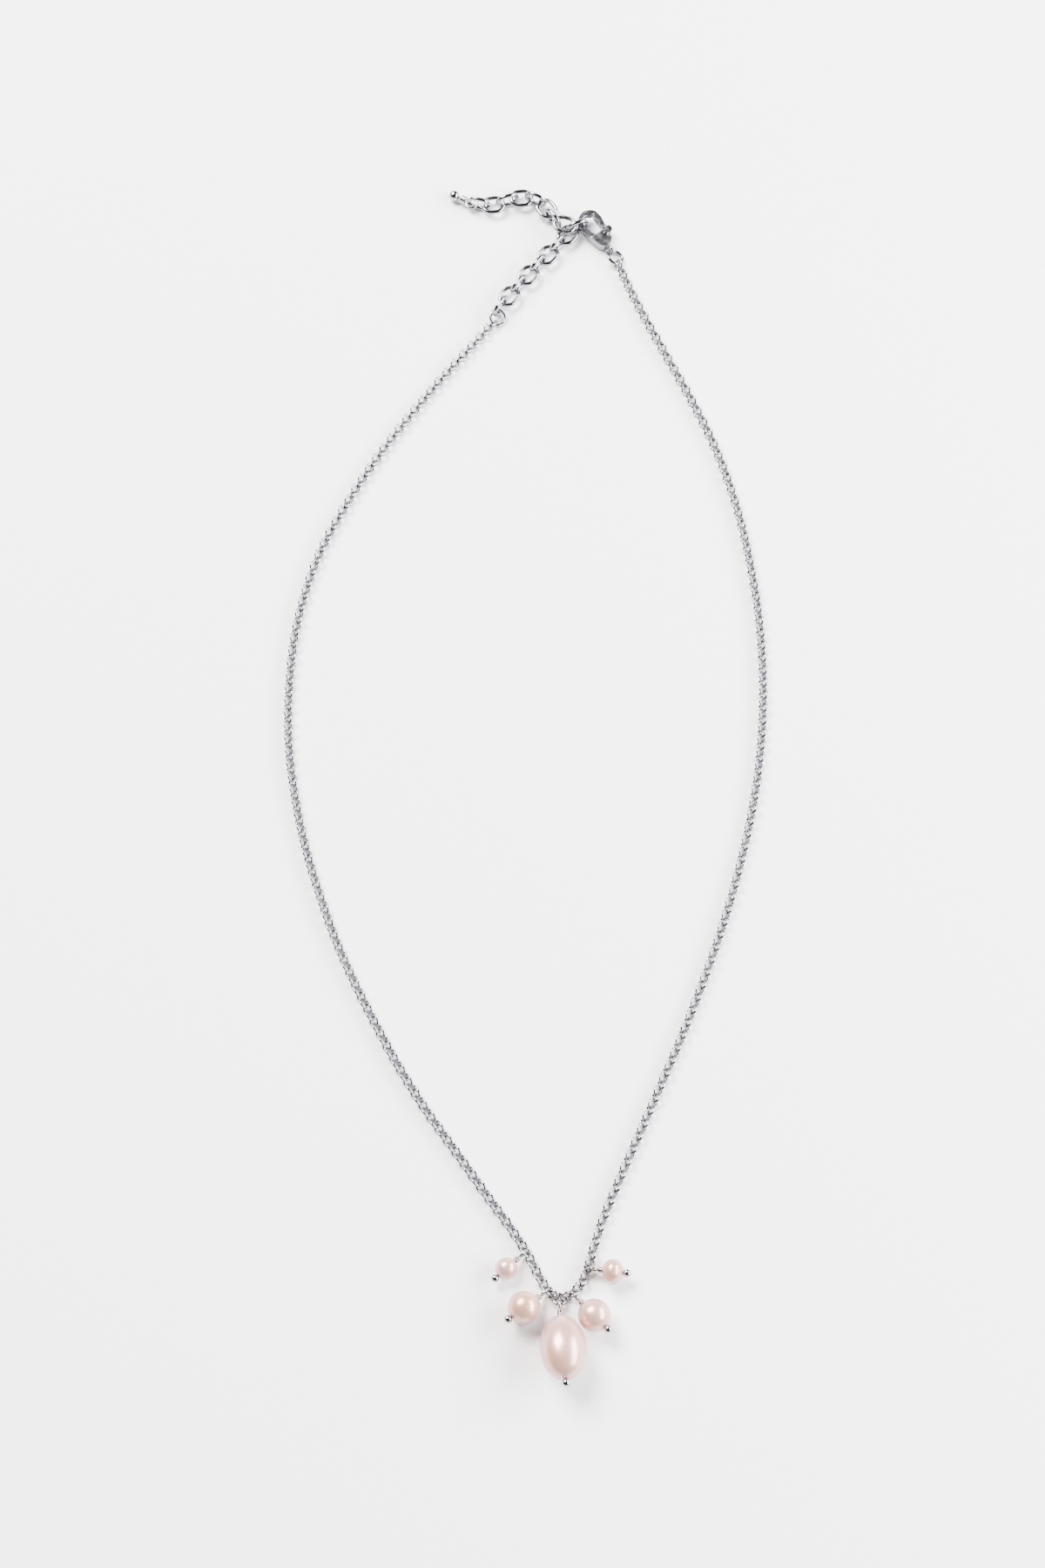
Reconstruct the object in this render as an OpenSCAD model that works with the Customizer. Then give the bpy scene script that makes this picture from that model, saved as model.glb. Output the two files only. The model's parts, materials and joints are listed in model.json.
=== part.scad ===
// Pearl necklace laid open on a table: a fine belcher chain with five pearl drops at the
// front, a lobster clasp on the right end and an extender chain on the left end, hooked
// into the clasp part of the way along. Millimetres. The chain lies on the plane z = 0,
// the drops point towards -Y and the clasp is at the +Y end.

/* [Chain] */
// Outer diameter of a round chain link
link_od = 2.08; // [2.04:0.01:2.12]
// Wire diameter of a chain link
link_wire = 0.44; // [0.42:0.01:0.45]
// Target spacing of the chain links along the chain
link_pitch = 1.17; // [1.165:0.001:1.18]

/* [Extender] */
// Outer length of an oval extender link
oval_length = 4.5; // [4.4:0.05:4.6]
// Outer width of an oval extender link
oval_width = 3.7; // [3.6:0.05:3.8]
// Wire diameter of an oval extender link
oval_wire = 0.75; // [0.7:0.01:0.78]

/* [Drops] */
// Diameter of the wire that each drop hangs by
pin_wire = 0.4; // [0.36:0.01:0.42]
// Gap all round between the pin and the drilled hole in its pearl
pin_gap = 0.05; // [0.03:0.01:0.1]
// Length of the large oval pearl along its pin
centre_pearl_length = 11; // [10:0.1:12]
// Diameter of the large oval pearl across its pin
centre_pearl_width = 7.5; // [7:0.1:7.8]
// Diameter of the two round pearls
round_pearl = 5.3; // [5:0.1:5.6]
// Diameter of the small pearl on the left
small_pearl = 3.6; // [3.4:0.1:3.8]
// Length of the small button pearl on the right along its pin
button_length = 3.4; // [3.2:0.1:3.6]
// Diameter of the small button pearl across its pin
button_width = 4.1; // [3.9:0.1:4.3]

/* [Clasp] */
// Thickness of the clasp's hook
hook_t = 1.5; // [1.4:0.1:1.6]
// Thickness of the clasp's solid end, which holds the lever
cheek_t = 2.2; // [2.0:0.1:2.2]
// Diameter of the lever's pivot pin
pivot_d = 0.6; // [0.5:0.05:0.7]

/* [Hidden] */

silver = [0.80, 0.80, 0.82];
dark_silver = [0.55, 0.55, 0.58];
nacre = [0.87, 0.75, 0.72];

// The middle of the necklace's footprint, which becomes the origin
middle = [0.14, -1.51, 0];

// Round links, each rolled this far to one side and the next to the other
link_r = (link_od - link_wire) / 2;
link_roll = 45;
link_z = link_r * sin(link_roll) + link_wire / 2;

// The larger link at the bottom of the V, from which the centre drop hangs
centre_wire = 0.5;
centre_r = 1.05;
centre_heading = -8;
centre_at = [5.4, -96.6];
centre_roll = asin((link_z - centre_wire / 2) / centre_r);

// Where the chain's centre line runs, from the centre link up each side to its end ring
left_route = [
  [4.86, -96.4], [4.03, -95.57], [3.25, -94.7], [2.6, -93.72], [2.05, -92.7],
  [1.5, -91.6], [0.85, -90.3], [-0.1, -88.6], [-2.4, -85.1], [-5.9, -80.3], [-11, -73.1], [-16.2, -65.8],
  [-20.8, -58.5], [-24.9, -51], [-28.7, -43.5], [-32, -36], [-34.8, -28.2],
  [-37.2, -20.5], [-39, -12.7], [-40.3, -4.8], [-40.9, 3.2], [-40.8, 11.4],
  [-40.1, 19.5], [-38.4, 27.8], [-35.6, 36.2], [-31.4, 44.7], [-26.4, 53.3],
  [-20.4, 62], [-13.8, 70.7], [-8.6, 77], [-5.6, 80.8]
];
right_route = [
  [5.98, -96.56], [7, -96], [7.93, -95.27], [8.72, -94.4], [9.34, -93.4], [9.8, -92.3],
  [10.2, -91.1], [10.65, -89.6], [11.2, -87.8], [12.3, -84.4], [15.2, -77.4], [18.4, -70.2], [21.6, -63],
  [24.9, -55.5], [28, -48], [30.9, -40.4], [33.5, -32.9], [35.8, -25.2],
  [37.8, -17.4], [39.4, -9.5], [40.5, -1.6], [41.1, 6.5], [41.2, 14.6],
  [40.8, 22.8], [39.8, 31.2], [38.4, 39.6], [36.3, 48.1], [33.4, 56.8],
  [29.6, 65.5], [25.3, 74.3], [21, 83.2], [18.5, 89], [16.9, 93.1]
];

// Heights up the table at which each side divides into the parts that fold and swing
left_marks = [-77.9, -45.8, -15.9, -4.3, 21.3, 34.9, 65.2];
right_marks = [-77.9, -45.8, -15.9, -3.34, 22.26, 34.9, 65.2];

// Extender, from the ring on the left end to the clasp, and its free tail
ring_wire = 0.55;
ring_r = 1.425;
ring_roll = 25;
ring_z = ring_r * sin(ring_roll) + ring_wire / 2;
ring_step = 1.06;
oval_r = (oval_width - oval_wire) / 2;
oval_reach = (oval_length - oval_wire) / 2;
extender_pitch = 2.77;
extender_first = 1.79;
tail_pitch = 2.68;
flat_z = 1.45;
upright_z = oval_r + oval_wire / 2 + 0.02;
hooked_z = upright_z;
extender_route = [
  [-5.4, 81.9], [-4.52, 83.46], [-2.6, 86.1], [-0.2, 89.1], [2.4, 92.2], [5.1, 95.3],
  [7.79, 98.45], [8.9, 99.8]
];
tail_route = [
  [7.23, 99.95], [5.2, 101.6], [4, 103.9], [2.2, 105.6], [-0.3, 106.2], [-3, 105.6],
  [-5.7, 104.8], [-8.4, 104.8], [-10.9, 105.9], [-12.8, 107.4], [-14.5, 108.7]
];
tail_z = 2.4;

// Clasp: x runs from its eye to the tip of its hook
clasp_at = [15.75, 95.38, 1.12];
clasp_heading = 126;
clasp_rise = 6;
eye_r = 0.85;
eye_wire = 0.5;
mouth_at = 6.7;
mouth_r = 1.3;
hook_r = 2.4;
lever_at = [3, -0.9];
lever_reach = 4.45;
lever_t = 0.9;
slot_t = 1.06;
pivot_gap = 0.03;

// ---- Routes -------------------------------------------------------------------------

function unit(v) = v / norm(v);

function tangent(p, i) =
  unit(p[min(i + 1, len(p) - 1)] - p[max(i - 1, 0)]);

function hermite(a, b, ta, tb, u) =
  (2 * pow(u, 3) - 3 * u * u + 1) * a + (pow(u, 3) - 2 * u * u + u) * norm(b - a) * ta
  + (3 * u * u - 2 * pow(u, 3)) * b + (pow(u, 3) - u * u) * norm(b - a) * tb;

// A smooth curve through the route's points, as many short steps
function smooth_path(p, steps = 10) = concat(
  [for (i = [0:len(p) - 2], k = [0:steps - 1])
    hermite(p[i], p[i + 1], tangent(p, i), tangent(p, i + 1), k / steps)],
  [p[len(p) - 1]]
);

// [distance along the path, x, y] for each of its steps
function measured(p) = [
  for (i = 0, s = 0; i < len(p); i = i + 1, s = i < len(p) ? s + norm(p[i] - p[i - 1]) : s)
    [s, p[i].x, p[i].y]
];

function path_x(m, s) = lookup(s, [for (q = m) [q[0], q[1]]]);
function path_y(m, s) = lookup(s, [for (q = m) [q[0], q[2]]]);
function path_at(m, s) = [path_x(m, s), path_y(m, s)];
function path_length(m) = m[len(m) - 1][0];
function heading_at(m, s) =
  let (d = path_at(m, s + 0.3) - path_at(m, s - 0.3)) atan2(d.y, d.x);
// Distance along a path that climbs in y, at height y
function distance_at(m, y) = lookup(y, [for (q = m) [q[2], q[0]]]);

left_path = measured(smooth_path(left_route));
right_path = measured(smooth_path(right_route));
extender_path = measured(smooth_path(extender_route));
tail_path = measured(smooth_path(tail_route));

// Distances along a side at which its parts begin and end, and how many links each has
function part_ends(path, marks) =
  concat([0], [for (y = marks) distance_at(path, y)], [path_length(path)]);
function part_counts(ends) =
  [for (k = [0:len(ends) - 2]) round((ends[k + 1] - ends[k]) / link_pitch)];
function total(v, n) = n == 0 ? 0 : v[n - 1] + total(v, n - 1);

left_ends = part_ends(left_path, left_marks);
right_ends = part_ends(right_path, right_marks);
left_counts = part_counts(left_ends);
right_counts = part_counts(right_ends);

// ---- Wire forms ---------------------------------------------------------------------

module placed(at, heading, roll = 0, rise = 0) {
  translate(at - middle) rotate([0, 0, heading]) rotate([0, -rise, 0]) rotate([roll, 0, 0]) children();
}

module wire_ring(r, wire) {
  rotate_extrude($fn = 48) translate([r, 0]) circle(d = wire, $fn = 24);
}

module oval_link() {
  straight = oval_length - oval_width;
  for (side = [-1, 1]) {
    translate([side * straight / 2, 0, 0]) rotate([0, 0, -90 * side])
      rotate_extrude(angle = 180, $fn = 48) translate([oval_r, 0])
        circle(d = oval_wire, $fn = 24);
    translate([-straight / 2, side * oval_r, 0]) rotate([0, 90, 0])
      cylinder(h = straight, d = oval_wire, $fn = 24);
  }
}

// ---- Chain --------------------------------------------------------------------------

function link_distance(ends, counts, k, i) =
  ends[k] + (i + 0.5) * (ends[k + 1] - ends[k]) / counts[k];
function roll_sign(n) = n % 2 == 0 ? 1 : -1;
// Each part rests on its end links: towards its middle the links stand a hair higher
function link_rise(count, i) = 0.0015 * count * sin(180 * (i + 0.5) / count);

module chain_part(path, ends, counts, k, first) {
  color(silver) for (i = [0:counts[k] - 1]) {
    s = link_distance(ends, counts, k, i);
    placed([path_x(path, s), path_y(path, s), link_z + link_rise(counts[k], i)],
      heading_at(path, s),
      link_roll * roll_sign(first + total(counts, k) + i))
      wire_ring(link_r, link_wire);
  }
}

module left_chain(k) chain_part(left_path, left_ends, left_counts, k - 1, 1);
module right_chain(k) chain_part(right_path, right_ends, right_counts, k - 1, 0);

module centre_link() {
  color(silver) placed([centre_at.x, centre_at.y, link_z], centre_heading, -centre_roll)
    wire_ring(centre_r, centre_wire);
}

// ---- Drops --------------------------------------------------------------------------

// Where a drop's loop stands: out to one side of its link and up, threaded through the
// link and round the link's raised side
function loop_place(at, out_heading, out, up, slide) = [
  at.x + out * cos(out_heading) - slide * sin(out_heading),
  at.y + out * sin(out_heading) + slide * cos(out_heading),
  link_z + up
];

// Height of a pearl's centre when it lies on the table with its pin rising by tilt
function rest_height(a, b, tilt) = sqrt(pow(a * sin(tilt), 2) + pow(b * cos(tilt), 2));
// The pin's rise, from a loop at height z to a pearl whose centre is d along the pin
function pin_rise(z, d, a, b, tilt = 10, n = 12) = n == 0 ? tilt
  : pin_rise(z, d, a, b, asin((rest_height(a, b, tilt) - z) / d), n - 1);

// A loop's centre beside link i: out to the side, up, and along it by slide
left_out = 90;
right_out = -90;

function beside_link(path, ends, counts, i, side, out, up, slide) =
  let (s = link_distance(ends, counts, 0, i))
    loop_place(path_at(path, s), heading_at(path, s) + side, out, up, slide);

// Each drop: [loop centre, pin heading, loop radius, distance to the pearl's centre,
// half the pearl's length, half its width, number of wraps, ball radius]
ball_sink = 0.04;

centre_drop = [
  loop_place(centre_at, centre_heading - 90, 1.1, 0.75, 0.2), -86, 0.9, 7.5,
  centre_pearl_length / 2, centre_pearl_width / 2, 2, 0.68
];
lower_left_drop = [
  beside_link(left_path, left_ends, left_counts, 1, left_out, 0.85, 0.85, 0), -142, 0.85,
  4.25, round_pearl / 2, round_pearl / 2, 1, 0.68
];
lower_right_drop = [
  beside_link(right_path, right_ends, right_counts, 1, right_out, 0.95, 0.8, 0), -47, 0.9,
  4.35, round_pearl / 2, round_pearl / 2, 1, 0.68
];
upper_left_drop = [
  beside_link(left_path, left_ends, left_counts, 7, left_out, 0.8, 0.8, 0.1), -138, 0.8,
  3.5, small_pearl / 2, small_pearl / 2, 2, 0.66
];
upper_right_drop = [
  beside_link(right_path, right_ends, right_counts, 5, right_out, 0.8, 0.8, 0.1), -8, 0.8,
  3.3, button_length / 2, button_width / 2, 1, 0.66
];

module on_drop(d) {
  placed(d[0], d[1], 0, pin_rise(d[0].z, d[3], d[4], d[5])) children();
}

// The wire: a loop, a neck wound round itself, the pin through the pearl and its ball end
module headpin(d) {
  r = d[2];
  wrap_start = r + 0.3;
  wrap_step = 0.9 * pin_wire;
  ball_at = d[3] + d[4] + d[7] - ball_sink;
  color(silver) on_drop(d) {
    rotate([90, 0, 0]) wire_ring(r, pin_wire);
    translate([r, 0, 0]) rotate([0, 90, 0]) cylinder(h = ball_at - r, d = pin_wire, $fn = 32);
    for (k = [0:d[6] - 1]) translate([wrap_start + k * wrap_step, 0, 0])
      rotate([0, 90, 0]) wire_ring(0.95 * pin_wire, pin_wire);
    if (d[6] > 1) translate([wrap_start, 0, 0]) rotate([0, 90, 0])
      cylinder(h = (d[6] - 1) * wrap_step, r = 0.95 * pin_wire, $fn = 32);
    translate([ball_at, 0, 0]) sphere(r = d[7], $fn = 48);
  }
}

// A drilled pearl, with its long way or its short way along the pin
module pearl(d) {
  bore_r = pin_wire / 2 + pin_gap;
  steps = 36;
  start = asin(bore_r / d[5]);
  color(nacre) on_drop(d) translate([d[3], 0, 0]) rotate([0, 90, 0]) rotate_extrude($fn = 72)
    polygon([for (k = [0:steps]) let (t = -90 + start + k * (180 - 2 * start) / steps)
      [d[5] * cos(t), d[4] * sin(t)]]);
}

// ---- Rings and extender -------------------------------------------------------------

function end_ring_at(path) =
  let (s = path_length(path), h = heading_at(path, s - 0.3))
    [path_x(path, s) + ring_step * cos(h), path_y(path, s) + ring_step * sin(h), ring_z];

module end_ring(path, roll) {
  color(silver) placed(end_ring_at(path), heading_at(path, path_length(path) - 0.3), roll)
    wire_ring(ring_r, ring_wire);
}

module clasp_ring() end_ring(right_path, ring_roll);
module extender_ring() end_ring(left_path, ring_roll);

// Odd links stand on edge and even links lie flat between them. The last one is threaded
// on the hooked link, low down and to one side
module extender_link(n) {
  s = extender_first + (n - 1) * extender_pitch;
  upright = n % 2 == 1;
  color(silver)
    if (n == 8) placed(beside_hooked(20, flat_z), hooked_heading + 30) oval_link();
    else placed([path_x(extender_path, s), path_y(extender_path, s),
        upright ? upright_z : flat_z], heading_at(extender_path, s), upright ? 90 : 0)
      oval_link();
}

hooked_heading = clasp_heading + 74;
hooked_from_mouth = mouth_r + 1.1;
hooked_at = [
  clasp_at.x + mouth_at * cos(clasp_rise) * cos(clasp_heading)
    + hooked_from_mouth * cos(hooked_heading),
  clasp_at.y + mouth_at * cos(clasp_rise) * sin(clasp_heading)
    + hooked_from_mouth * sin(hooked_heading)
];
// Middle of a link threaded on the hooked link's outer end
function beside_hooked(side, z) = [
  hooked_at.x + 2.35 * cos(hooked_heading + side),
  hooked_at.y + 2.35 * sin(hooked_heading + side), z
];

module hooked_link() {
  color(silver) placed([hooked_at.x, hooked_at.y, hooked_z], hooked_heading, 90)
    oval_link();
}

// The tail's first link is threaded on the hooked link above the extender's last one
module tail_link(n) {
  s = (n - 1) * tail_pitch;
  upright = n % 2 == 0;
  color(silver)
    if (n == 1) placed(beside_hooked(-23, tail_z), hooked_heading - 35) oval_link();
    else placed([path_x(tail_path, s), path_y(tail_path, s),
        upright ? upright_z : flat_z], heading_at(tail_path, s), upright ? 90 : 0)
      oval_link();
}

// A short headpin with no pearl, closing the tail: loop, wound neck and ball
module tail_end_drop() {
  s = 7 * tail_pitch + 1.45;
  wire = 0.5;
  loop = 1;
  neck = 1.9;
  ball = 1;
  color(silver) placed([path_x(tail_path, s), path_y(tail_path, s), 1.15],
      heading_at(tail_path, s), 0) {
    wire_ring(loop, wire);
    translate([loop, 0, 0]) rotate([0, 90, 0]) cylinder(h = neck, d = wire, $fn = 32);
    for (k = [0:1]) translate([loop + 0.45 + 0.5 * k, 0, 0]) rotate([0, 90, 0])
      wire_ring(0.5, 0.55);
    translate([loop + 0.45, 0, 0]) rotate([0, 90, 0]) cylinder(h = 0.5, r = 0.5, $fn = 32);
    translate([loop + neck + ball - 0.3, 0, 0]) sphere(r = ball, $fn = 48);
  }
}

// ---- Clasp --------------------------------------------------------------------------

module on_clasp() {
  placed(clasp_at, clasp_heading, 0, clasp_rise) children();
}

module clasp_outline() {
  translate([mouth_at - 0.1, 0]) circle(r = hook_r, $fn = 96);
  translate([2.4, 0]) circle(r = 1.5, $fn = 96);
  polygon([[2.1, 1.47], [6.3, 2.38], [6.3, -2.38], [2.1, -1.47]]);
}

module clasp_mouth() {
  translate([mouth_at, 0]) circle(r = mouth_r, $fn = 96);
  translate([5.1, 0]) circle(r = 1.1, $fn = 96);
  polygon([[5.1, 1.1], [mouth_at, 1.29], [mouth_at, -1.29], [5.1, -1.1]]);
}

// The space that the lever's arm closes and swings through
module lever_gap(reach) {
  intersection() {
    translate(lever_at) circle(r = reach, $fn = 96);
    translate([4.1, -4]) square([5, 3.1]);
  }
  translate([4.1, -0.95]) square([0.5, 0.45]);
}

module clasp_body() {
  color(dark_silver) on_clasp() {
    difference() {
      union() {
        linear_extrude(height = hook_t, center = true) clasp_outline();
        linear_extrude(height = cheek_t, center = true) intersection() {
          clasp_outline();
          translate([0, -3]) square([3.9, 6]);
        }
        rotate([90, 0, 0]) wire_ring(eye_r, eye_wire);
      }
      linear_extrude(height = 3, center = true) clasp_mouth();
      linear_extrude(height = 3, center = true) lever_gap(lever_reach + 0.1);
      translate([1.9, -3, -slot_t / 2]) cube([2.3, 3.6, slot_t]);
      translate([lever_at.x, lever_at.y, -2]) cylinder(h = 4, d = pivot_d, $fn = 48);
    }
  }
}

module lever_outline() {
  intersection() {
    translate(lever_at) circle(r = lever_reach, $fn = 96);
    polygon([
      [2.1, -1.5], [2.1, -0.5], [2.6, -0.25], [3.4, -0.25], [4.4, -1.15], [7.6, -1.2],
      [7.9, -2.1], [6.4, -2.3], [4.5, -1.95], [4.1, -2.75], [3.3, -2.75], [2.7, -1.6]
    ]);
  }
}

module clasp_lever() {
  color(silver) on_clasp() difference() {
    union() {
      linear_extrude(height = lever_t, center = true) lever_outline();
      linear_extrude(height = hook_t, center = true) intersection() {
        lever_outline();
        translate([4.35, -4]) square([5, 4]);
      }
    }
    translate([lever_at.x, lever_at.y, -1])
      cylinder(h = 2, d = pivot_d + 2 * pivot_gap, $fn = 48);
  }
}

module clasp_pivot_pin() {
  color(dark_silver) on_clasp() translate([lever_at.x, lever_at.y, -cheek_t / 2])
    cylinder(h = cheek_t, d = pivot_d, $fn = 48);
}

// A leaf bent back on itself, between the lever's tail and the end of the slot
module clasp_spring() {
  leaf = 0.12;
  bend = 0.14;
  color(dark_silver) on_clasp() translate([2.35, 0, -0.4]) {
    translate([0, 0.16, 0]) rotate([0, 0, 90]) rotate_extrude(angle = 180, $fn = 48)
      translate([bend, 0]) square([leaf, 0.8]);
    for (side = [0, 1]) translate([0, 0.16 + (side == 0 ? bend : -bend - leaf), 0])
      cube([0.9, leaf, 0.8]);
  }
}

// ---- The necklace -------------------------------------------------------------------

centre_link();
left_chain(1);  // left_chain_1
left_chain(2);  // left_chain_2
left_chain(3);  // left_chain_3
left_chain(4);  // left_chain_4
left_chain(5);  // left_chain_5
left_chain(6);  // left_chain_6
left_chain(7);  // left_chain_7
left_chain(8);  // left_chain_8
right_chain(1);  // right_chain_1
right_chain(2);  // right_chain_2
right_chain(3);  // right_chain_3
right_chain(4);  // right_chain_4
right_chain(5);  // right_chain_5
right_chain(6);  // right_chain_6
right_chain(7);  // right_chain_7
right_chain(8);  // right_chain_8
headpin(centre_drop);  // centre_headpin
headpin(lower_left_drop);  // lower_left_headpin
headpin(lower_right_drop);  // lower_right_headpin
headpin(upper_left_drop);  // upper_left_headpin
headpin(upper_right_drop);  // upper_right_headpin
pearl(centre_drop);  // centre_pearl
pearl(lower_left_drop);  // lower_left_pearl
pearl(lower_right_drop);  // lower_right_pearl
pearl(upper_left_drop);  // upper_left_pearl
pearl(upper_right_drop);  // upper_right_pearl
clasp_ring();
clasp_body();
clasp_lever();
clasp_pivot_pin();
clasp_spring();
extender_ring();
extender_link(1);  // extender_link_1
extender_link(2);  // extender_link_2
extender_link(3);  // extender_link_3
extender_link(4);  // extender_link_4
extender_link(5);  // extender_link_5
extender_link(6);  // extender_link_6
extender_link(7);  // extender_link_7
extender_link(8);  // extender_link_8
hooked_link();
tail_link(1);  // tail_link_1
tail_link(2);  // tail_link_2
tail_link(3);  // tail_link_3
tail_link(4);  // tail_link_4
tail_link(5);  // tail_link_5
tail_link(6);  // tail_link_6
tail_link(7);  // tail_link_7
tail_link(8);  // tail_link_8
tail_end_drop();
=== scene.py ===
import bpy
import json
import math
import numpy as np
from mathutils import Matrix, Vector


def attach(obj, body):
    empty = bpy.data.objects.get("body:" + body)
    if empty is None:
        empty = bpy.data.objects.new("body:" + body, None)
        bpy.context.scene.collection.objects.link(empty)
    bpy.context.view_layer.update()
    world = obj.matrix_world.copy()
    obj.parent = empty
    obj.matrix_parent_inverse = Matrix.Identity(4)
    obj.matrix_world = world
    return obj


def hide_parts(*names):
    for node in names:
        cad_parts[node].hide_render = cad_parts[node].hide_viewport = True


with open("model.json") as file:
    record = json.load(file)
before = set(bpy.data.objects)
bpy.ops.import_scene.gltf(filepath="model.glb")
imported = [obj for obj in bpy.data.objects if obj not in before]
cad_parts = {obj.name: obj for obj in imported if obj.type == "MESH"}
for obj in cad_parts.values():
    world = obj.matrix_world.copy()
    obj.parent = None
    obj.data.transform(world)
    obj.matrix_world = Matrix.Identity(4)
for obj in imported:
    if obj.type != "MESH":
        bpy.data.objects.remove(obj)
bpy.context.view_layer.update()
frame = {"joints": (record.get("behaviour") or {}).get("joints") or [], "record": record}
MM = 0.001
JOINTS = {j["name"]: j for j in frame["joints"]}

# The photo shows nothing but the necklace on a plain white surface, so the scene has
# the necklace, a floor, a camera and lights.

# ---- Camera ------------------------------------------------------------------------

ELEVATION = math.radians(70)
DISTANCE = 489.87 * MM
TARGET = Vector((-0.64, -6.79, 0)) * MM
LENS, SENSOR = 65.64, 36


def make_camera():
    data = bpy.data.cameras.new("camera")
    data.lens = LENS
    data.sensor_width = SENSOR
    data.clip_start = 0.01
    data.clip_end = 20
    camera = bpy.data.objects.new("camera", data)
    back = Vector((0, -math.cos(ELEVATION), math.sin(ELEVATION)))
    camera.location = TARGET + back * DISTANCE
    camera.rotation_euler = back.to_track_quat("Z", "Y").to_euler()
    bpy.context.scene.collection.objects.link(camera)
    bpy.context.scene.camera = camera


# ---- Materials ---------------------------------------------------------------------

def new_material(name):
    material = bpy.data.materials.new(name)
    material.use_nodes = True
    nodes = material.node_tree.nodes
    return material, nodes, material.node_tree.links, nodes["Principled BSDF"]


def noise(nodes, links, scale, detail=3):
    where = nodes.new("ShaderNodeTexCoord")
    texture = nodes.new("ShaderNodeTexNoise")
    texture.inputs["Scale"].default_value = scale
    texture.inputs["Detail"].default_value = detail
    links.new(where.outputs["Object"], texture.inputs["Vector"])
    return texture


def ramp(nodes, links, source, low, high):
    """A noise's useful middle range, spread from low to high."""
    out = nodes.new("ShaderNodeMapRange")
    out.inputs["From Min"].default_value = 0.3
    out.inputs["From Max"].default_value = 0.7
    out.inputs["To Min"].default_value = low
    out.inputs["To Max"].default_value = high
    links.new(source, out.inputs["Value"])
    return out.outputs["Result"]


def metal(name, color, rough_low, rough_high, bump=0.0):
    """Polished metal: faint smears in its roughness, and a cast surface if bump is given."""
    material, nodes, links, shader = new_material(name)
    shader.inputs["Base Color"].default_value = (*color, 1)
    shader.inputs["Metallic"].default_value = 1
    grain = noise(nodes, links, 900)
    links.new(ramp(nodes, links, grain.outputs["Fac"], rough_low, rough_high),
              shader.inputs["Roughness"])
    if bump:
        waves = noise(nodes, links, 500, 2)
        relief = nodes.new("ShaderNodeBump")
        relief.inputs["Strength"].default_value = bump
        relief.inputs["Distance"].default_value = 0.00005
        links.new(waves.outputs["Fac"], relief.inputs["Height"])
        links.new(relief.outputs["Normal"], shader.inputs["Normal"])
    return material


def nacre(name, warm, cool, edge):
    """Pearl: drifting warm and cool clouds under a clear coat, with a mauve edge."""
    material, nodes, links, shader = new_material(name)
    clouds = noise(nodes, links, 190, 3)
    colors = nodes.new("ShaderNodeValToRGB")
    low, high = colors.color_ramp.elements
    low.position, low.color = 0.34, (*warm, 1)
    high.position, high.color = 0.68, (*cool, 1)
    links.new(clouds.outputs["Fac"], colors.inputs["Fac"])
    links.new(colors.outputs["Color"], shader.inputs["Base Color"])
    pores = noise(nodes, links, 1400, 4)
    relief = nodes.new("ShaderNodeBump")
    relief.inputs["Strength"].default_value = 0.12
    relief.inputs["Distance"].default_value = 0.00002
    links.new(pores.outputs["Fac"], relief.inputs["Height"])
    links.new(relief.outputs["Normal"], shader.inputs["Normal"])
    shader.inputs["Metallic"].default_value = 0.45
    shader.inputs["Roughness"].default_value = 0.34
    shader.inputs["Specular Tint"].default_value = (*edge, 1)
    shader.inputs["Sheen Weight"].default_value = 0.35
    shader.inputs["Sheen Roughness"].default_value = 0.4
    shader.inputs["Sheen Tint"].default_value = (*edge, 1)
    shader.inputs["Coat Weight"].default_value = 0.7
    shader.inputs["Coat Roughness"].default_value = 0.12
    shader.inputs["Coat IOR"].default_value = 1.5
    return material


SILVER = metal("silver", (0.3, 0.3, 0.32), 0.08, 0.2)
WIRE = metal("pin_wire", (0.42, 0.41, 0.41), 0.08, 0.2)
CLASP = metal("clasp_metal", (0.24, 0.24, 0.26), 0.16, 0.3, 0.25)
PEARL = nacre("pearl", (0.62, 0.34, 0.22), (0.62, 0.39, 0.36), (0.66, 0.5, 0.9))


# ---- Meshes ------------------------------------------------------------------------

def make_piece(name, verts, faces, material, body, replaced):
    mesh = bpy.data.meshes.new(name)
    mesh.from_pydata([tuple(v) for v in verts], [], [tuple(f) for f in faces])
    mesh.validate()
    mesh.polygons.foreach_set("use_smooth", [True] * len(mesh.polygons))
    mesh.materials.append(material)
    mesh.update()
    piece = bpy.data.objects.new(name, mesh)
    bpy.context.scene.collection.objects.link(piece)
    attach(piece, body)
    if replaced:
        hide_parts(*replaced)
    return piece


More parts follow.
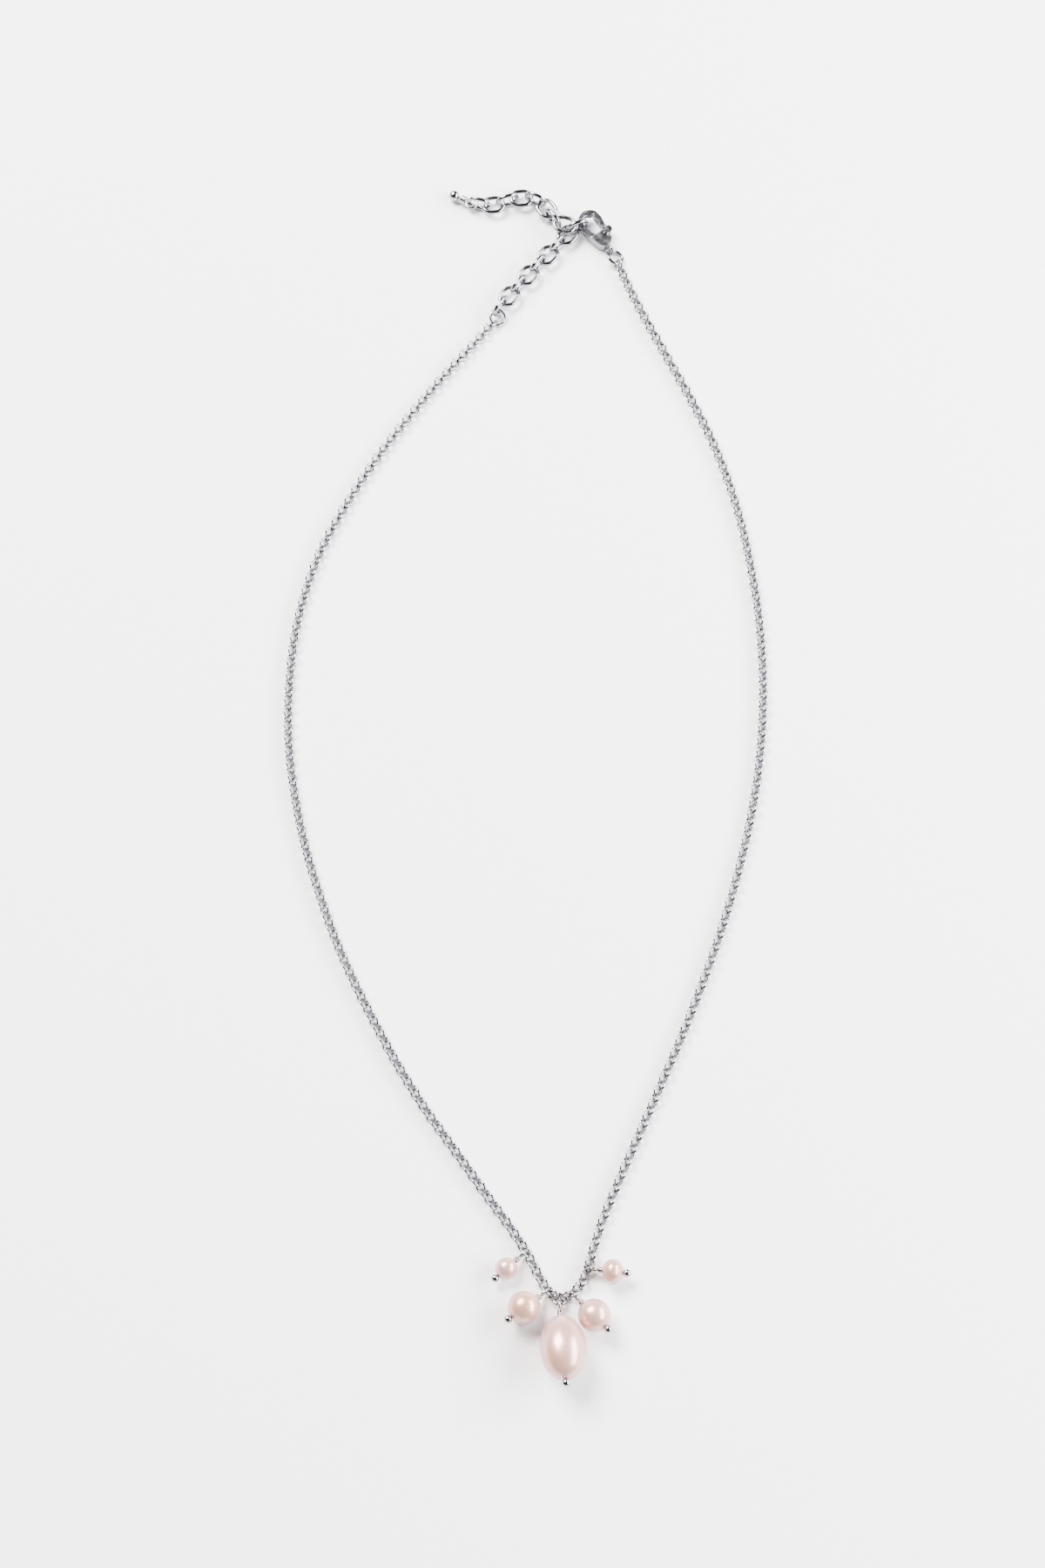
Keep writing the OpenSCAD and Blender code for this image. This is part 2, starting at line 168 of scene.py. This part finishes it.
def tube(path, radius, sides, closed):
    """Vertices and faces of a round wire along a path, with flat ends if it isn't closed."""
    path = np.asarray(path, float)
    count = len(path)
    if closed:
        ahead = np.roll(path, -1, axis=0) - np.roll(path, 1, axis=0)
    else:
        ahead = np.gradient(path, axis=0)
    ahead /= np.linalg.norm(ahead, axis=1)[:, None]
    side = np.cross(ahead[0], [0.31, 0.17, 0.93])
    side /= np.linalg.norm(side)
    sides_at = [side]
    for i in range(1, count):
        side = side - ahead[i] * (side @ ahead[i])
        side /= np.linalg.norm(side)
        sides_at.append(side)
    twist = 0.0
    if closed:
        last = sides_at[-1] - ahead[0] * (sides_at[-1] @ ahead[0])
        last /= np.linalg.norm(last)
        up = np.cross(ahead[0], sides_at[0])
        twist = math.atan2(last @ up, last @ sides_at[0])
    verts = []
    for i in range(count):
        up = np.cross(ahead[i], sides_at[i])
        for k in range(sides):
            t = 2 * math.pi * k / sides - (twist * i / count if closed else 0)
            verts.append(path[i] + radius * (math.cos(t) * sides_at[i] + math.sin(t) * up))
    faces = []
    for i in range(count if closed else count - 1):
        j = (i + 1) % count
        for k in range(sides):
            n = (k + 1) % sides
            faces.append((i * sides + k, i * sides + n, j * sides + n, j * sides + k))
    if not closed:
        faces.append(tuple(reversed(range(sides))))
        faces.append(tuple((count - 1) * sides + k for k in range(sides)))
    return verts, faces


def joined(parts):
    verts, faces = [], []
    for v, f in parts:
        start = len(verts)
        verts.extend(v)
        faces.extend(tuple(i + start for i in face) for face in f)
    return verts, faces


def islands(node):
    """The separate solids of a CAD node, as arrays of points."""
    mesh = bpy.data.objects[node].data
    points = np.zeros(len(mesh.vertices) * 3)
    mesh.vertices.foreach_get("co", points)
    points, weld = np.unique(np.round(points.reshape(-1, 3), 7), axis=0, return_inverse=True)
    edges = np.zeros(len(mesh.edges) * 2, int)
    mesh.edges.foreach_get("vertices", edges)
    edges = weld.reshape(-1)[edges].reshape(-1, 2)
    label = np.arange(len(points))
    while True:
        low = np.minimum(label[edges[:, 0]], label[edges[:, 1]])
        new = label.copy()
        np.minimum.at(new, edges[:, 0], low)
        np.minimum.at(new, edges[:, 1], low)
        new = new[new]
        if (new == label).all():
            break
        label = new
    return [points[label == k] for k in np.unique(label)]


def ring_axes(points):
    """Centre, long direction, short direction and normal of a flat closed loop of wire."""
    centre = (points.min(axis=0) + points.max(axis=0)) / 2
    _, vectors = np.linalg.eigh(np.cov((points - centre).T))
    return centre, vectors[:, 2], vectors[:, 1], vectors[:, 0]


def ring_path(centre, u, v, r, count):
    t = np.arange(count) * 2 * math.pi / count
    return centre + r * (np.outer(np.cos(t), u) + np.outer(np.sin(t), v))


def oval_path(centre, u, v, straight, r):
    points = []
    for turn in range(2):
        for k in range(17):
            t = math.pi * turn - math.pi / 2 + math.pi * k / 16
            shift = straight / 2 if turn == 0 else -straight / 2
            points.append(centre + u * (shift + r * math.cos(t)) + v * r * math.sin(t))
    return points


# ---- Chain -------------------------------------------------------------------------

LINK_R, LINK_WIRE = 0.82 * MM, 0.44 * MM
CENTRE_R, CENTRE_WIRE = 1.05 * MM, 0.5 * MM
RING_R, RING_WIRE = 1.425 * MM, 0.55 * MM
OVAL_R, OVAL_WIRE, OVAL_STRAIGHT = 1.475 * MM, 0.75 * MM, 0.8 * MM


def body_of(node):
    for body, nodes in frame["record"]["behaviour"]["bodies"].items():
        if node in nodes:
            return body
    raise ValueError(node)


def make_links(node, r, wire, count=32, sides=14):
    parts = []
    for points in islands(node):
        centre, u, v, _ = ring_axes(points)
        parts.append(tube(ring_path(centre, u, v, r, count), wire / 2, sides, True))
    verts, faces = joined(parts)
    make_piece(node + "_wire", verts, faces, SILVER, body_of(node), [node])


def make_oval(node):
    centre, u, v, _ = ring_axes(islands(node)[0])
    path = oval_path(centre, u, v, OVAL_STRAIGHT, OVAL_R)
    verts, faces = tube(path, OVAL_WIRE / 2, 20, True)
    make_piece(node + "_wire", verts, faces, SILVER, body_of(node), [node])


# ---- Drops -------------------------------------------------------------------------

# name: loop radius, distance to the pearl, half length, half width, ball radius, in mm
DROPS = {
    "centre": (0.9, 7.5, 5.5, 3.75, 0.68),
    "lower_left": (0.85, 4.25, 2.65, 2.65, 0.68),
    "lower_right": (0.9, 4.35, 2.65, 2.65, 0.68),
    "upper_left": (0.8, 3.5, 1.8, 1.8, 0.66),
    "upper_right": (0.8, 3.3, 1.7, 2.05, 0.66),
}
PIN = 0.4
BORE = 0.25
COIL_R, COIL_WIRE = 0.36, 0.33


def drop_frame(name):
    """Loop centre and the pin's, side and up directions, in metres at rest."""
    at = np.array(JOINTS[name + "_swing"]["pos_m"], float)
    pin = np.array(JOINTS[name + "_spin"]["axis"], float)
    pin /= np.linalg.norm(pin)
    side = np.cross([0, 0, 1], pin)
    side /= np.linalg.norm(side)
    return at, pin, side, np.cross(pin, side)


def make_headpin(name):
    """Loop, pin, wound neck and ball of one drop."""
    loop_r, reach, half_length, _, ball_r = DROPS[name]
    at, pin, side, up = drop_frame(name)

    def to_world(p):
        p = np.asarray(p, float)
        return at + MM * (np.outer(p[:, 0], pin) + np.outer(p[:, 1], side)
                          + np.outer(p[:, 2], up))

    ball_at = reach + half_length + ball_r - 0.04
    t = np.linspace(0, 2 * math.pi, 49)[:-1]
    loop = np.c_[loop_r * np.cos(t), 0 * t, loop_r * np.sin(t)]
    parts = [tube(to_world(loop), MM * PIN / 2, 16, True)]
    s = np.linspace(loop_r - 0.02, ball_at, 60)
    parts.append(tube(to_world(np.c_[s, 0 * s, 0 * s]), MM * PIN / 2, 16, False))
    start, end = loop_r + 0.16, reach - half_length - 0.1
    turns = (end - start) / COIL_WIRE
    t = np.linspace(0, 1, int(36 * turns))
    coil = np.c_[start + (end - start) * t, COIL_R * np.cos(2 * math.pi * turns * t),
                 COIL_R * np.sin(2 * math.pi * turns * t)]
    parts.append(tube(to_world(coil), MM * COIL_WIRE / 2, 14, False))
    parts.append(ball(at + MM * pin * ball_at, MM * ball_r, pin, side, up))
    verts, faces = joined(parts)
    make_piece(name + "_wire", verts, faces, WIRE, body_of(name + "_headpin"),
               [name + "_headpin"])


def ball(centre, r, u, v, w, rings=24, sides=36):
    verts, faces = [centre - r * u], []
    for i in range(1, rings):
        a = math.pi * i / rings
        for k in range(sides):
            t = 2 * math.pi * k / sides
            verts.append(centre + r * (-math.cos(a) * u + math.sin(a)
                                       * (math.cos(t) * v + math.sin(t) * w)))
    verts.append(centre + r * u)
    last = len(verts) - 1
    for k in range(sides):
        n = (k + 1) % sides
        faces.append((0, 1 + n, 1 + k))
        faces.append((last, last - sides + k, last - sides + n))
        for i in range(rings - 2):
            a, b = 1 + i * sides, 1 + (i + 1) * sides
            faces.append((a + k, a + n, b + n, b + k))
    return verts, faces


def make_pearl(name):
    """An egg-smooth pearl with its drilled hole, turned about the pin."""
    _, reach, half_length, half_width, _ = DROPS[name]
    at, pin, side, up = drop_frame(name)
    centre = at + MM * reach * pin
    start = math.asin(BORE / half_width)
    profile = []
    rings, sides = 64, 96
    for i in range(rings + 1):
        t = -math.pi / 2 + start + i * (math.pi - 2 * start) / rings
        profile.append((half_length * math.sin(t), half_width * math.cos(t)))
    ends = profile[-1][0]
    bore = [(ends * (1 - 2 * k / 8), BORE) for k in range(1, 8)]
    profile += bore
    verts, faces = [], []
    for x, r in profile:
        for k in range(sides):
            t = 2 * math.pi * k / sides
            verts.append(centre + MM * (x * pin + r * (math.cos(t) * side
                                                       + math.sin(t) * up)))
    count = len(profile)
    for i in range(count):
        j = (i + 1) % count
        for k in range(sides):
            n = (k + 1) % sides
            faces.append((i * sides + k, j * sides + k, j * sides + n, i * sides + n))
    make_piece(name + "_nacre", verts, faces, PEARL, body_of(name + "_pearl"),
               [name + "_pearl"])


# ---- Clasp -------------------------------------------------------------------------

PULL, LET_OUT = 0.5, -0.47
EYE_FROM_MOUTH, EYE_FADE = 6.1, 0.8


def rounded(node, voxel, rounds, material, share=None):
    """A copy of a CAD solid with its edges melted over. Each round pulls every point towards
    its neighbours and then lets it out again, so that the wire keeps its thickness; share
    says how much each point moves."""
    piece = bpy.data.objects.new(node + "_round", bpy.data.objects[node].data.copy())
    bpy.context.scene.collection.objects.link(piece)
    remesh = piece.modifiers.new("remesh", "REMESH")
    remesh.mode = "VOXEL"
    remesh.voxel_size = voxel
    graph = bpy.context.evaluated_depsgraph_get()
    graph.update()
    mesh = bpy.data.meshes.new_from_object(piece.evaluated_get(graph))
    piece.modifiers.clear()
    piece.data = mesh
    points = np.zeros(len(mesh.vertices) * 3)
    mesh.vertices.foreach_get("co", points)
    points = points.reshape(-1, 3)
    edges = np.zeros(len(mesh.edges) * 2, int)
    mesh.edges.foreach_get("vertices", edges)
    ends = np.concatenate([edges[0::2], edges[1::2]])
    others = np.concatenate([edges[1::2], edges[0::2]])
    valence = np.bincount(ends, minlength=len(points))
    weight = np.ones(len(points)) if share is None else share(points)
    for step in rounds * (PULL, LET_OUT):
        for axis in range(3):
            near = np.bincount(ends, points[others, axis], len(points)) / valence
            points[:, axis] += step * weight * (near - points[:, axis])
    mesh.vertices.foreach_set("co", points.ravel())
    mesh.materials.clear()
    mesh.materials.append(material)
    mesh.polygons.foreach_set("use_smooth", [True] * len(mesh.polygons))
    mesh.update()
    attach(piece, body_of(node))
    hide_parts(node)
    return piece


def off_the_eye(points):
    """1 on the clasp's solid end and hook, falling to 0 at its wire eye."""
    mouth = next(m for m in frame["record"]["mounts"] if m["name"] == "clasp_mouth")
    far = np.linalg.norm(points - np.array(mouth["pos_m"]), axis=1) / MM
    return np.clip((EYE_FROM_MOUTH - far) / EYE_FADE, 0, 1)


# ---- Floor and light ---------------------------------------------------------------

FLOOR_HALF = 3.0


def make_floor():
    size = FLOOR_HALF
    mesh = bpy.data.meshes.new("floor")
    mesh.from_pydata([(-size, -size, 0), (size, -size, 0), (size, size, 0), (-size, size, 0)],
                     [], [(0, 1, 2, 3)])
    material, nodes, links, shader = new_material("floor")
    shader.inputs["Base Color"].default_value = (0.96, 0.96, 0.96, 1)
    shader.inputs["Roughness"].default_value = 0.9
    shader.inputs["Specular IOR Level"].default_value = 0.1
    mesh.materials.append(material)
    floor = bpy.data.objects.new("floor", mesh)
    bpy.context.scene.collection.objects.link(floor)


def area_light(name, at, toward, size, power, color=(1, 1, 1)):
    data = bpy.data.lights.new(name, "AREA")
    data.shape = "RECTANGLE"
    data.size, data.size_y = size
    data.energy = power
    data.color = color
    light = bpy.data.objects.new(name, data)
    light.location = at
    light.rotation_euler = (Vector(at) - Vector(toward)).to_track_quat("Z", "Y").to_euler()
    bpy.context.scene.collection.objects.link(light)


def make_world():
    """A room that is dark overhead and pale towards the floor, for the metal to mirror."""
    world = bpy.data.worlds.new("world")
    world.use_nodes = True
    nodes, links = world.node_tree.nodes, world.node_tree.links
    where = nodes.new("ShaderNodeTexCoord")
    split = nodes.new("ShaderNodeSeparateXYZ")
    shades = nodes.new("ShaderNodeValToRGB")
    links.new(where.outputs["Generated"], split.inputs["Vector"])
    links.new(split.outputs["Z"], shades.inputs["Fac"])
    low, high = shades.color_ramp.elements
    low.position, low.color = 0.1, (0.75, 0.76, 0.78, 1)
    high.position, high.color = 0.6, (0.05, 0.05, 0.06, 1)
    links.new(shades.outputs["Color"], nodes["Background"].inputs["Color"])
    bpy.context.scene.world = world


def make_light():
    make_world()
    area_light("key", (-0.42, 0.5, 0.8), (0, 0, 0), (0.6, 0.5), 54, (1, 0.97, 0.94))
    area_light("window", (0.55, -0.02, 0.34), (0, -0.08, 0), (0.8, 0.3), 24, (0.94, 0.97, 1))


make_camera()
make_floor()
make_light()

for side in ("left", "right"):
    for k in range(1, 9):
        make_links(f"{side}_chain_{k}", LINK_R, LINK_WIRE)
make_links("centre_link", CENTRE_R, CENTRE_WIRE, 48, 20)
make_links("clasp_ring", RING_R, RING_WIRE, 64, 20)
make_links("extender_ring", RING_R, RING_WIRE, 64, 20)
for k in range(1, 9):
    make_oval(f"extender_link_{k}")
    make_oval(f"tail_link_{k}")
make_oval("hooked_link")
for drop in DROPS:
    make_headpin(drop)
    make_pearl(drop)
rounded("clasp_body", 0.07 * MM, 70, CLASP, off_the_eye)
rounded("clasp_lever", 0.05 * MM, 40, CLASP)
rounded("tail_end_drop", 0.05 * MM, 4, WIRE)
for node in ("clasp_pivot_pin", "clasp_spring"):
    bpy.data.objects[node].material_slots[0].material = CLASP
